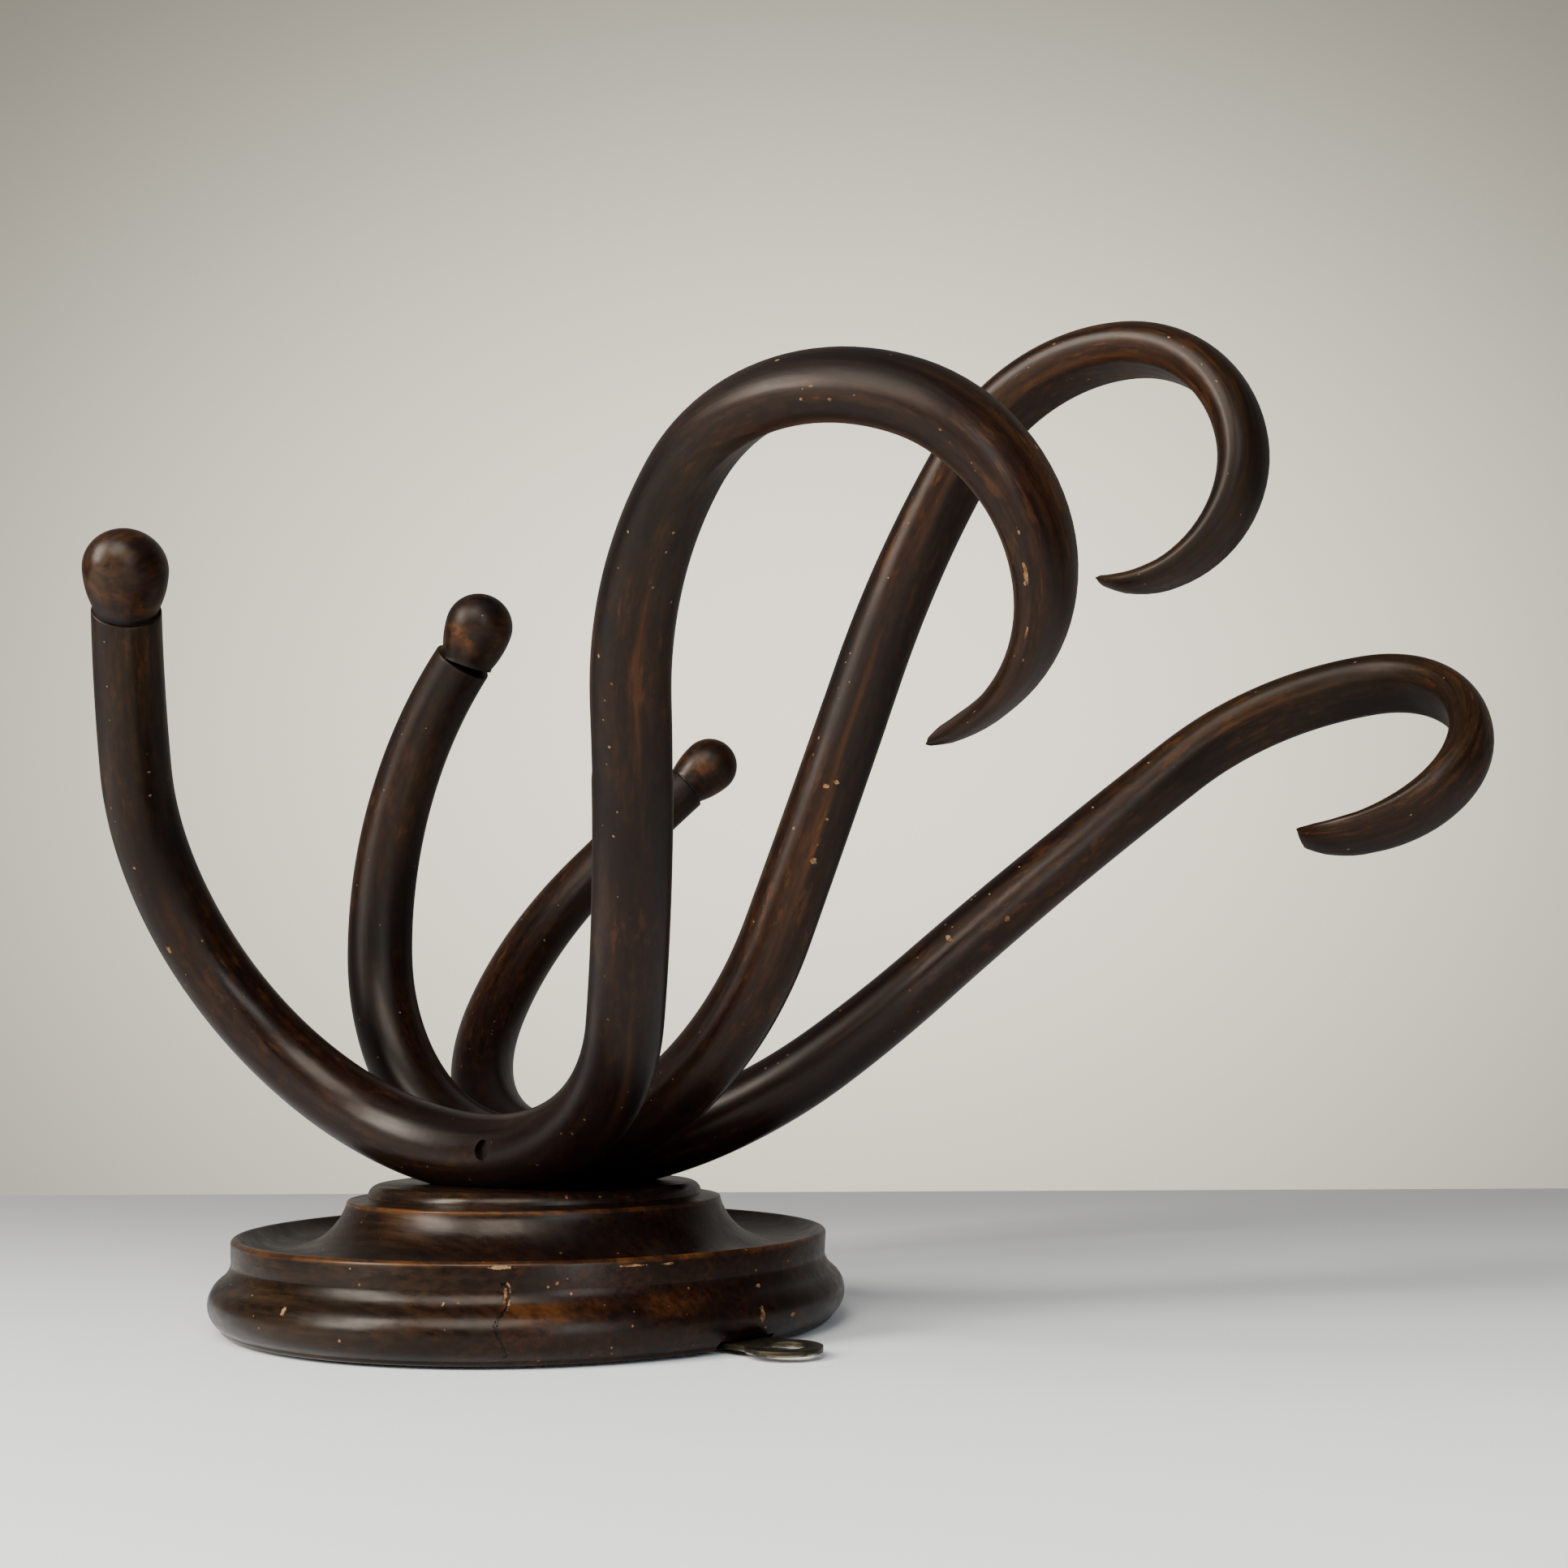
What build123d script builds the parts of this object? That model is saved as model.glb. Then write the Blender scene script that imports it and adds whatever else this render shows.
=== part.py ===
from build123d import *
import os
from math import ceil, cos, radians, sin

# A wall rack for hats and coats: three bent rods fixed side by side on a round turned block.
# Millimetres. Origin at the middle of the block's flat back, which lies on the wall.
# +Z points out of the wall, +X up when the rack hangs, and +Y towards the left-hand arm.

# --- the round block, turned in one piece ---------------------------------------------------
FOOT_RADIUS = 92.6        # where the side meets the back
BULGE_RADIUS = 96.0       # the widest part of the side moulding
BULGE_HEIGHT = 8.0
NECK_RADIUS = 90.0        # the hollow under the lip
NECK_HEIGHT = 18.5
LIP_RADIUS = 90.4
LIP_HEIGHT = 25.6
LIP_WIDTH = 3.4
DISH_HEIGHT = 21.6        # the shallow floor inside the lip
DISH_INNER_RADIUS = 72.0
BEAD_RADIUS = 57.5        # the sharp bead round the raised middle
BEAD_HEIGHT = 35.4
BEAD_ROUND = 0.9          # its worn edge
STEP_ROUND = 3.4          # the quarter round above the bead
SEAT_HEIGHT = 39.8        # the flat seat that the arms stand on
SEAT_RADIUS = 48.0

# --- the arms: round rods steamed and bent, then shaved to a thin blade at the hat end ------
ROD_AXIS_DATUM = 44.4     # height that every arm's own up-and-down measure starts from
END_DIAMETER = 19.4       # at the ball
FOOT_DIAMETER = 23.8      # where the rod crosses the seat
SHANK_DIAMETER = 19.4     # on the way up to the crown
# Girth of the round rod: (run from the foot, diameter); minus is towards the ball.
GIRTH = [
    (-270, END_DIAMETER),
    (-205, 20.8),
    (-140, 21.8),
    (-80, 22.3),
    (0, FOOT_DIAMETER),
    (70, 21.3),
    (140, 20.1),
    (200, SHANK_DIAMETER),
]
# The blade: (run back from the tip, thickness across the bend, width).
BLADE = [
    (0, 2.0, 8.4),
    (5, 3.4, 12.0),
    (12, 5.2, 14.6),
    (24, 7.8, 17.4),
    (45, 10.6, 19.4),
    (65, 12.4, 20.4),
    (95, 13.8, 21.2),
    (130, 15.2, 21.6),
    (165, 16.4, 21.2),
    (195, 18.2, 20.2),
    (230, SHANK_DIAMETER, SHANK_DIAMETER),
]
STATION_TURN = 14.0       # degrees of bend between two sections of a rod
STATION_RUN = 28.0        # and the longest run between them

# Each arm lies in its own flat plane, which leans out from the middle. foot is the point where
# it is lowest, (along X, above the datum). A bend is (radius, degrees), plus turning away from
# the wall; hat bends run from the foot to the tip, coat bends from the foot to the ball.
ARMS = {
    "right": {
        "side": -1,
        "lean": 33.5,
        "offset": 20.2,
        "foot": (3.0, 6.0),
        "pitch": 0.0,
        "hat": [(89, 60.0), (930, 6.0), (119, -29.5), (52, -67.0), (36, -114.0), (51, -28.0)],
        "coat": [(93, 50.0), (89, 72.5), (740, 5.5)],
        "blade": 1.02,
    },
    "middle": {
        "side": 1,
        "lean": 0.0,
        "offset": 0.0,
        "foot": (-10.5, 3.5),
        "pitch": -1.5,
        "hat": [(113, 66.5), (4470, 1.0), (280, -13.0), (51, -64.0), (36, -72.5), (28, -122.0)],
        "coat": [(71, 85.0), (128, 48.5), (44, -19.5)],
        "blade": 0.98,
    },
    "left": {
        "side": 1,
        "lean": 38.0,
        "offset": 21.0,
        "foot": (-10.5, 3.5),
        "pitch": -0.5,
        "hat": [(119, 48.5), (300, 7.5), (1040, -6.0), (77, -47.5), (32, -100.0), (35, -98.0)],
        "coat": [(77, 76.5), (117, 36.0), (390, 10.0)],
        "blade": 0.98,
    },
}
FLAT_FROM_MIDDLE = 11.6   # the planed flats where two rods lie against each other

# --- the balls, turned with a peg that is glued into the rod's end --------------------------
BALL_DIAMETER = 23.2
NECK_DIAMETER = 17.4      # the ball draws in to a neck where it sits on the rod's end
NECK_FROM_CENTRE = 13.6
PEG_DIAMETER = 8.0
PEG_LENGTH = 14.0

# --- wood screws -----------------------------------------------------------------------------
BACK_SCREW = {"shank": 4.8, "head": 9.6, "length": 54.0, "slot": 1.2}
SIDE_SCREW = {"shank": 4.0, "head": 7.6, "length": 30.0, "slot": 1.0}
PLATE_SCREW = {"shank": 3.5, "head": 6.8, "length": 16.0, "slot": 0.9}
SCREW_POINT = 6.0
BACK_SCREW_X = -12.0
BACK_SCREW_Y = 23.5
SIDE_SCREW_X = 12.5
SIDE_SCREW_Z = 50.5
SIDE_HEAD_Y = 30.5        # how far out the side screws' heads stand, sunk in the rod
SIDE_SINK_RADIUS = 4.4

# --- the hanging plate, let in flush to the back at the top ----------------------------------
PLATE_THICKNESS = 1.5
PLATE_INNER_X = 66.0
PLATE_HALF_WIDTH = 8.0
PLATE_TURN = -7.0         # it was screwed on a little askew
CRANK_X = 89.0            # the plate is cranked a little here, clear of the wall
CRANK_RUN = 5.0
CRANK_RISE = 0.6
EYE_X = 107.0
EYE_RADIUS = 10.5
EYE_HOLE_RADIUS = 6.2
PLATE_SCREW_X = (72.0, 84.0)
LET_IN_GAP = 0.3


def turned(outline):
    """The solid swept by a closed half section in the XZ plane, about Z."""
    return revolve(make_face(outline), Axis.Z)


def rose_outline():
    """Half section of the block: flat back, bulge, hollow neck, lip, dish, cove, bead and seat."""
    side_mid = (NECK_RADIUS + BULGE_RADIUS) / 2
    foot_round = FOOT_RADIUS - 0.8
    bead_under = BEAD_HEIGHT - BEAD_ROUND
    lip_inner = LIP_RADIUS - LIP_WIDTH
    step_radius = SEAT_RADIUS + STEP_ROUND
    step_height = SEAT_HEIGHT - STEP_ROUND
    lines = [
        Line((0, 0, 0), (foot_round, 0, 0)),
        Line((foot_round, 0, 0), (FOOT_RADIUS, 0, 0.8)),
        ThreePointArc((FOOT_RADIUS, 0, 0.8), (BULGE_RADIUS, 0, BULGE_HEIGHT), (side_mid, 0, 13.6)),
        ThreePointArc((side_mid, 0, 13.6), (90.9, 0, 15.8), (NECK_RADIUS, 0, NECK_HEIGHT)),
        Line((NECK_RADIUS, 0, NECK_HEIGHT), (LIP_RADIUS, 0, LIP_HEIGHT - 1.2)),
        ThreePointArc(
            (LIP_RADIUS, 0, LIP_HEIGHT - 1.2),
            (LIP_RADIUS - 1.0, 0, LIP_HEIGHT - 0.1),
            (lip_inner + 1.0, 0, LIP_HEIGHT - 0.5),
        ),
        ThreePointArc(
            (lip_inner + 1.0, 0, LIP_HEIGHT - 0.5),
            (lip_inner - 1.6, 0, DISH_HEIGHT + 1.6),
            (lip_inner - 5.0, 0, DISH_HEIGHT),
        ),
        ThreePointArc(
            (lip_inner - 5.0, 0, DISH_HEIGHT),
            ((lip_inner - 5.0 + DISH_INNER_RADIUS) / 2, 0, DISH_HEIGHT - 0.5),
            (DISH_INNER_RADIUS, 0, DISH_HEIGHT),
        ),
        ThreePointArc(
            (DISH_INNER_RADIUS, 0, DISH_HEIGHT),
            (BEAD_RADIUS + 5.6, 0, DISH_HEIGHT + 4.2),
            (BEAD_RADIUS, 0, bead_under),
        ),
        ThreePointArc(
            (BEAD_RADIUS, 0, bead_under),
            (BEAD_RADIUS - 0.2, 0, bead_under + 0.7),
            (BEAD_RADIUS - BEAD_ROUND, 0, BEAD_HEIGHT),
        ),
        Line((BEAD_RADIUS - BEAD_ROUND, 0, BEAD_HEIGHT), (step_radius, 0, step_height)),
        ThreePointArc(
            (step_radius, 0, step_height),
            (SEAT_RADIUS + STEP_ROUND * sin(radians(45)), 0, step_height + STEP_ROUND * sin(radians(45))),
            (SEAT_RADIUS, 0, SEAT_HEIGHT),
        ),
        Line((SEAT_RADIUS, 0, SEAT_HEIGHT), (0, 0, SEAT_HEIGHT)),
        Line((0, 0, SEAT_HEIGHT), (0, 0, 0)),
    ]
    return Wire(lines)


def screw_outline(size, start):
    """Half outline of a countersunk wood screw from z = start to its point."""
    shank = size["shank"] / 2
    head = size["head"] / 2
    return Polyline(
        (0, 0, start),
        (head, 0, start),
        (head, 0, 0.4),
        (shank, 0, 0.4 + head - shank),
        (shank, 0, size["length"] - SCREW_POINT),
        (0, 0, size["length"]),
        close=True,
    )


def screw(size):
    """A slotted countersunk wood screw along +Z, its head's flat face at z = 0."""
    slot = Box(size["head"] + 1, size["slot"], 2.4)
    return turned(screw_outline(size, 0)) - slot


def screw_hole(size):
    """The hole that the screw fills, countersink and all, open past its head."""
    return turned(screw_outline(size, -1))


def interpolate(table, at):
    """Straight-line values from a list of (place, value, ...) rows."""
    if at <= table[0][0]:
        return table[0][1:]
    for low, high in zip(table, table[1:]):
        if at <= high[0]:
            part = (at - low[0]) / (high[0] - low[0])
            return tuple(a + (b - a) * part for a, b in zip(low[1:], high[1:]))
    return table[-1][1:]


def follow(point, heading, bends, way):
    """(run, u, v, heading) at stations along tangent arcs; way -1 walks towards the ball."""
    u, v = point
    run = 0.0
    stations = []
    for radius, turn in bends:
        arc = radius * radians(abs(turn))
        count = max(1, ceil(abs(turn) / STATION_TURN), ceil(arc / STATION_RUN))
        step = radians(turn) / count * way
        chord = 2 * radius * sin(abs(step) / 2)
        for _ in range(count):
            u += chord * cos(heading + step / 2) * way
            v += chord * sin(heading + step / 2) * way
            heading += step
            run += arc / count
            stations.append((run, u, v, heading))
    return stations


def arm_stations(arm):
    """Stations from the ball's centre to the tip: (run from foot, run to tip, u, v, heading)."""
    pitch = radians(arm["pitch"])
    hat = follow(arm["foot"], pitch, arm["hat"], 1)
    coat = follow(arm["foot"], pitch, arm["coat"], -1)
    whole = [(-run, u, v, heading) for run, u, v, heading in reversed(coat)]
    whole += [(0.0, *arm["foot"], pitch)] + hat
    tip = whole[-1][0]
    return [(run, tip - run, u, v, heading) for run, u, v, heading in whole]


def arm_plane(arm, u, v, heading):
    """The plane square to the rod at a station, its x along the width of the blade."""
    lean = radians(arm["lean"])
    side = arm["side"]
    origin = (u, side * (v * sin(lean) + arm["offset"]), v * cos(lean) + ROD_AXIS_DATUM)
    along = (cos(heading), side * sin(heading) * sin(lean), sin(heading) * cos(lean))
    across = (0, -cos(lean), side * sin(lean))
    return Plane(origin=origin, x_dir=across, z_dir=along)


def arm_section(arm, run, to_tip):
    """Width and thickness of the rod: round up to the crown, then the shaved blade."""
    (diameter,) = interpolate(GIRTH, run)
    thickness, width = interpolate(BLADE, to_tip)
    if to_tip >= BLADE[-1][0]:
        return diameter, diameter
    thinned = thickness * arm["blade"] ** min(1.0, (BLADE[-1][0] - to_tip) / 120)
    return max(width, thinned), min(width, thinned)


def ball_plane(arm):
    """The plane at the ball's centre, looking down the rod."""
    _, _, u, v, heading = arm_stations(arm)[0]
    return arm_plane(arm, u, v, heading)


def arm_blank(arm):
    """The bent and shaved rod, before its flats are planed and its holes are bored."""
    sections = []
    for run, to_tip, u, v, heading in arm_stations(arm):
        width, thickness = arm_section(arm, run, to_tip)
        sections.append(arm_plane(arm, u, v, heading) * Ellipse(width / 2, thickness / 2))
    return loft(sections)


def side_screw_place(side):
    """Where a side screw's head lies: it points inwards along Y, into the middle rod."""
    at = (SIDE_SCREW_X, side * SIDE_HEAD_Y, SIDE_SCREW_Z)
    return Plane(origin=at, x_dir=(1, 0, 0), z_dir=(0, -side, 0))


def back_screw_y(name):
    """The row of back screws: one under each arm."""
    return BACK_SCREW_Y * (0 if name == "middle" else ARMS[name]["side"])


def make_arm(name):
    """One arm: cut to the ball's seat, flat on the block, flat against its neighbour, bored."""
    arm = ARMS[name]
    end = ball_plane(arm)
    body = arm_blank(arm)
    body -= end * Pos(0, 0, NECK_FROM_CENTRE - 20) * Box(60, 60, 40)
    body -= end * Pos(0, 0, NECK_FROM_CENTRE + PEG_LENGTH / 2) * Cylinder(PEG_DIAMETER / 2, PEG_LENGTH)
    body -= Pos(0, 0, SEAT_HEIGHT - 20) * Box(400, 200, 40)
    for side in (-1, 1):
        if name == "middle":
            body -= Pos(0, side * (FLAT_FROM_MIDDLE + 10), SEAT_HEIGHT) * Box(200, 20, 80)
        elif side == arm["side"]:
            body -= Pos(0, side * (FLAT_FROM_MIDDLE - 10), SEAT_HEIGHT) * Box(200, 20, 80)
        if name == "middle" or side == arm["side"]:
            body -= side_screw_place(side) * screw_hole(SIDE_SCREW)
            if name != "middle":
                body -= side_screw_place(side) * Pos(0, 0, -10) * Cylinder(SIDE_SINK_RADIUS, 20)
    body -= Pos(BACK_SCREW_X, back_screw_y(name), 0) * screw_hole(BACK_SCREW)
    return body


def make_ball(name):
    """A turned ball: round above, drawn in to a neck below, with a peg that goes into the rod."""
    radius = BALL_DIAMETER / 2
    neck = NECK_DIAMETER / 2
    peg = PEG_DIAMETER / 2
    end = NECK_FROM_CENTRE + PEG_LENGTH
    outline = [
        ThreePointArc((0, 0, -radius), (radius * cos(radians(45)), 0, -radius * sin(radians(45))), (radius, 0, 0)),
        ThreePointArc((radius, 0, 0), (radius - 0.75, 0, 6.0), (neck + 0.2, 0, 12.4)),
        Line((neck + 0.2, 0, 12.4), (neck, 0, NECK_FROM_CENTRE)),
        Line((neck, 0, NECK_FROM_CENTRE), (peg, 0, NECK_FROM_CENTRE)),
        Line((peg, 0, NECK_FROM_CENTRE), (peg, 0, end)),
        Line((peg, 0, end), (0, 0, end)),
        Line((0, 0, end), (0, 0, -radius)),
    ]
    return ball_plane(ARMS[name]) * turned(Wire(outline))


def make_hanging_plate():
    """A brass strip cranked clear of the wall, with a round eye and two screw holes."""
    top = PLATE_THICKNESS
    crank_end = CRANK_X + CRANK_RUN
    far = EYE_X + EYE_RADIUS + 1
    edge = Polyline(
        (PLATE_INNER_X, 0, 0),
        (CRANK_X, 0, 0),
        (crank_end, 0, CRANK_RISE),
        (far, 0, CRANK_RISE),
        (far, 0, CRANK_RISE + top),
        (crank_end, 0, CRANK_RISE + top),
        (CRANK_X, 0, top),
        (PLATE_INNER_X, 0, top),
        close=True,
    )
    strip = extrude(make_face(edge), amount=PLATE_HALF_WIDTH + 4, both=True)
    tab_length = EYE_X - PLATE_INNER_X
    tab = Pos((PLATE_INNER_X + EYE_X) / 2, 0, 0) * RectangleRounded(tab_length, 2 * PLATE_HALF_WIDTH, 3)
    outline = tab + Pos(EYE_X, 0, 0) * Circle(EYE_RADIUS)
    plate = strip & extrude(outline, amount=10, both=True)
    plate -= Pos(EYE_X, 0, 0) * Cylinder(EYE_HOLE_RADIUS, 20)
    for x in PLATE_SCREW_X:
        plate -= Pos(x, 0, 0) * screw_hole(PLATE_SCREW)
    return Rot(0, 0, PLATE_TURN) * plate


def make_rose():
    """The turned block, with its screw holes and the let-in for the hanging plate."""
    rose = turned(rose_outline())
    for name in ARMS:
        rose -= Pos(BACK_SCREW_X, back_screw_y(name), 0) * screw_hole(BACK_SCREW)
    turn = Rot(0, 0, PLATE_TURN)
    for x in PLATE_SCREW_X:
        rose -= turn * Pos(x, 0, 0) * screw_hole(PLATE_SCREW)
    rim = BULGE_RADIUS + 4
    width = 2 * (PLATE_HALF_WIDTH + LET_IN_GAP)
    inner = PLATE_INNER_X - LET_IN_GAP
    rose -= turn * Pos((inner + rim) / 2, 0, 0) * Box(rim - inner, width, 2 * PLATE_THICKNESS)
    crank_room = PLATE_THICKNESS + CRANK_RISE + 0.6
    start = CRANK_X - 1.5
    rose -= turn * Pos((start + rim) / 2, 0, 0) * Box(rim - start, width + 4, 2 * crank_room)
    return rose


def make_parts():
    """Every separate piece of the rack, by name."""
    parts = {"rose": make_rose(), "hanging_plate": make_hanging_plate()}
    for name in ARMS:
        parts["arm_" + name] = make_arm(name)
        parts["ball_" + name] = make_ball(name)
        parts["back_screw_" + name] = Pos(BACK_SCREW_X, back_screw_y(name), 0) * screw(BACK_SCREW)
        if name != "middle":
            parts["side_screw_" + name] = side_screw_place(ARMS[name]["side"]) * screw(SIDE_SCREW)
    for end, x in zip(("top", "bottom"), reversed(PLATE_SCREW_X)):
        parts["plate_screw_" + end] = Rot(0, 0, PLATE_TURN) * Pos(x, 0, 0) * screw(PLATE_SCREW)
    return parts


os.makedirs("parts", exist_ok=True)
for node, shape in make_parts().items():
    export_step(shape, "parts/" + node + ".step")
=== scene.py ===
from math import atan2, ceil, copysign, cos, pi, radians, sin
import bmesh
import bpy
from mathutils import Matrix, Vector


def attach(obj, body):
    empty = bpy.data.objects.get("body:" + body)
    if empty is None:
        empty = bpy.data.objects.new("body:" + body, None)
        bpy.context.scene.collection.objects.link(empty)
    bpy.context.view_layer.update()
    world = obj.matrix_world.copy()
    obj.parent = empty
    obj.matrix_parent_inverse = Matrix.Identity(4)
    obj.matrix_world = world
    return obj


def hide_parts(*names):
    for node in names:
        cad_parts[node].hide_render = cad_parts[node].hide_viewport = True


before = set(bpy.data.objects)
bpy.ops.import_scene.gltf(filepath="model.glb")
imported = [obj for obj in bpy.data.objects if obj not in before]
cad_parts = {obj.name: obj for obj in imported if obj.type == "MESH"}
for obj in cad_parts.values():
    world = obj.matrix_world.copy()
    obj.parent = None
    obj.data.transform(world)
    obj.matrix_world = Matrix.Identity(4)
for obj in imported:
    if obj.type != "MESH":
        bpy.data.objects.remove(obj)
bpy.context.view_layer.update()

# ---- the round block ------------------------------------------------------------------------
# A disc of beech turned in one go: bulge and hollow neck round the side, a thin lip, a shallow
# dish, then a cove up to a sharp bead, a quarter round and the flat seat. Stained almost black
# and rubbed with shellac, it has worn back to brown along its lip and bead and split at one side.
MM = 0.001
BLOCK_START = (0.0, 0.0)
BLOCK_OUTLINE = [
    # (end) for a straight run, (through, end) for an arc; radius and height in millimetres
    ((91.2, 0.0),),
    ((92.2, 0.4), (92.6, 1.3)),
    ((96.0, 8.0), (93.0, 13.6)),
    ((90.9, 15.8), (90.0, 18.5)),
    ((90.4, 24.4),),
    ((89.4, 25.5), (88.0, 25.1)),
    ((85.4, 23.2), (82.0, 21.6)),
    ((77.0, 21.1), (72.0, 21.6)),
    ((63.1, 25.8), (57.5, 34.5)),
    ((57.3, 35.2), (56.6, 35.4)),
    ((51.4, 36.4),),
    ((50.4, 38.8), (48.0, 39.8)),
    ((0.0, 39.8),),
]
BLOCK_FACETS = 288
BLOCK_ARC_STEPS = 10
BLOCK_SHARP = 30.0


def new_object(name, data):
    """An object that holds the given mesh, camera or light, put in the scene."""
    made = bpy.data.objects.new(name, data)
    bpy.context.scene.collection.objects.link(made)
    return made


def new_piece(name, bm, material, sharp=40.0):
    """The finished mesh as an object: smooth, with edges sharper than the given angle kept."""
    bmesh.ops.remove_doubles(bm, verts=bm.verts, dist=0.00001)
    bmesh.ops.recalc_face_normals(bm, faces=bm.faces)
    mesh = bpy.data.meshes.new(name)
    bm.to_mesh(mesh)
    bm.free()
    mesh.shade_smooth()
    mesh.set_sharp_from_angle(angle=radians(sharp))
    mesh.materials.append(material)
    return new_object(name, mesh)


def arc_centre(a, b, c):
    """Centre of the circle through three points of the XZ plane."""
    d = 2 * (a.x * (b.z - c.z) + b.x * (c.z - a.z) + c.x * (a.z - b.z))
    aa, bb, cc = a.length_squared, b.length_squared, c.length_squared
    x = (aa * (b.z - c.z) + bb * (c.z - a.z) + cc * (a.z - b.z)) / d
    z = (aa * (c.x - b.x) + bb * (a.x - c.x) + cc * (b.x - a.x)) / d
    return Vector((x, 0, z))


def turn_outline(bm, start, outline, facets, arc_steps):
    """Draw a half section in the XZ plane, run by run, and turn it about Z like a lathe."""
    at = bm.verts.new((start[0] * MM, 0, start[1] * MM))
    for run in outline:
        points = [Vector((x * MM, 0, z * MM)) for x, z in run]
        if len(points) == 1:
            end = bm.verts.new(points[0])
            bm.edges.new((at, end))
            at = end
            continue
        centre = arc_centre(at.co, points[0], points[1])
        first = at.co - centre
        last = points[1] - centre
        angle = atan2(last.z, last.x) - atan2(first.z, first.x)
        angle = (angle + pi) % (2 * pi) - pi
        made = bmesh.ops.spin(
            bm, geom=[at], cent=centre, axis=(0, -1, 0), angle=angle, steps=arc_steps
        )
        at = [part for part in made["geom_last"] if isinstance(part, bmesh.types.BMVert)][0]
    bmesh.ops.spin(
        bm,
        geom=bm.verts[:] + bm.edges[:],
        cent=(0, 0, 0),
        axis=(0, 0, 1),
        angle=2 * pi,
        steps=facets,
        use_merge=True,
    )


def cut_away(piece, bm):
    """Cut the shape in bm out of a piece for good."""
    bmesh.ops.recalc_face_normals(bm, faces=bm.faces)
    mesh = bpy.data.meshes.new("cutter")
    bm.to_mesh(mesh)
    bm.free()
    cutter = new_object("cutter", mesh)
    cut = piece.modifiers.new("cut", "BOOLEAN")
    cut.object = cutter
    cut.operation = "DIFFERENCE"
    cut.solver = "EXACT"
    bpy.context.view_layer.update()
    graph = bpy.context.evaluated_depsgraph_get()
    done = bpy.data.meshes.new_from_object(piece.evaluated_get(graph))
    piece.modifiers.clear()
    piece.data = done
    bpy.data.objects.remove(cutter)


def node(tree, kind, inputs, **settings):
    """One shader node: inputs by name or number, each a plain value or another node's output."""
    made = tree.nodes.new(kind)
    for name, value in settings.items():
        setattr(made, name, value)
    for key, value in inputs.items():
        if isinstance(value, bpy.types.NodeSocket):
            tree.links.new(value, made.inputs[key])
        else:
            made.inputs[key].default_value = value
    return made


def maths(tree, operation, a, b=0.0, clamp=False):
    """A Math node's output."""
    return node(tree, "ShaderNodeMath", {0: a, 1: b}, operation=operation, use_clamp=clamp).outputs[0]


def times(tree, a, b):
    """One value or mask multiplied by another."""
    return maths(tree, "MULTIPLY", a, b)


def plus(tree, a, b, clamp=False):
    """Two values added."""
    return maths(tree, "ADD", a, b, clamp)


def minus(tree, a, b):
    """One value less another."""
    return maths(tree, "SUBTRACT", a, b)


def window(tree, value, low, high, out_low=0.0, out_high=1.0):
    """A value eased from one range to another."""
    given = {"Value": value, "From Min": low, "From Max": high, "To Min": out_low, "To Max": out_high}
    return node(tree, "ShaderNodeMapRange", given, interpolation_type="SMOOTHSTEP").outputs[0]


def tint(tree, mask, under, over):
    """One colour laid over another through a mask."""
    return node(tree, "ShaderNodeMix", {0: mask, 6: under, 7: over}, data_type="RGBA").outputs[2]


def noise(tree, place, scale, detail=3.0, roughness=0.55):
    """Soft noise between 0 and 1."""
    given = {"Vector": place, "Scale": scale, "Detail": detail, "Roughness": roughness}
    return node(tree, "ShaderNodeTexNoise", given).outputs["Fac"]


def scaled(tree, place, scale):
    """A place stretched by a factor along each axis."""
    given = {"Vector": place, "Scale": scale}
    return node(tree, "ShaderNodeMapping", given, vector_type="POINT").outputs[0]


def vector(tree, operation, inputs, output="Vector"):
    """A Vector Math node's output."""
    return node(tree, "ShaderNodeVectorMath", inputs, operation=operation).outputs[output]


def gather(tree, x, y, z):
    """A place put together from its three parts."""
    return node(tree, "ShaderNodeCombineXYZ", {0: x, 1: y, 2: z}).outputs[0]


def relief_normal(tree, strength, distance, height, **more):
    """The surface tilted by a height that shows as fine relief."""
    given = {"Strength": strength, "Distance": distance, "Height": height}
    return node(tree, "ShaderNodeBump", given | more).outputs[0]


def new_group(name, inputs, outputs):
    """A shader node group with named sockets: the tree and its two end nodes."""
    tree = bpy.data.node_groups.new(name, "ShaderNodeTree")
    for socket, kind in inputs:
        tree.interface.new_socket(socket, in_out="INPUT", socket_type=kind)
    for socket, kind in outputs:
        tree.interface.new_socket(socket, in_out="OUTPUT", socket_type=kind)
    return tree, tree.nodes.new("NodeGroupInput"), tree.nodes.new("NodeGroupOutput")


def use_group(tree, group, inputs):
    """Place a node group in a material."""
    return node(tree, "ShaderNodeGroup", inputs, node_tree=group)


def grain_group():
    """Beech grain under stain; Place runs along the grain in z, in metres."""
    tree, start, end = new_group(
        "beech_grain",
        [("Place", "NodeSocketVector")],
        [("Streak", "NodeSocketFloat"), ("Cloud", "NodeSocketFloat")],
    )
    place = start.outputs["Place"]
    wander = noise(tree, scaled(tree, place, (40, 40, 12)), 1.0, 2.0)
    long_place = scaled(tree, place, (420, 420, 14))
    shifted = vector(tree, "ADD", {0: long_place, 1: wander})
    streak = noise(tree, shifted, 1.0, 5.0, 0.62)
    cloud = noise(tree, scaled(tree, place, (55, 55, 17)), 1.0, 4.0, 0.6)
    tree.links.new(window(tree, streak, 0.3, 0.7), end.inputs["Streak"])
    tree.links.new(window(tree, cloud, 0.3, 0.7), end.inputs["Cloud"])
    return tree


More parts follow.
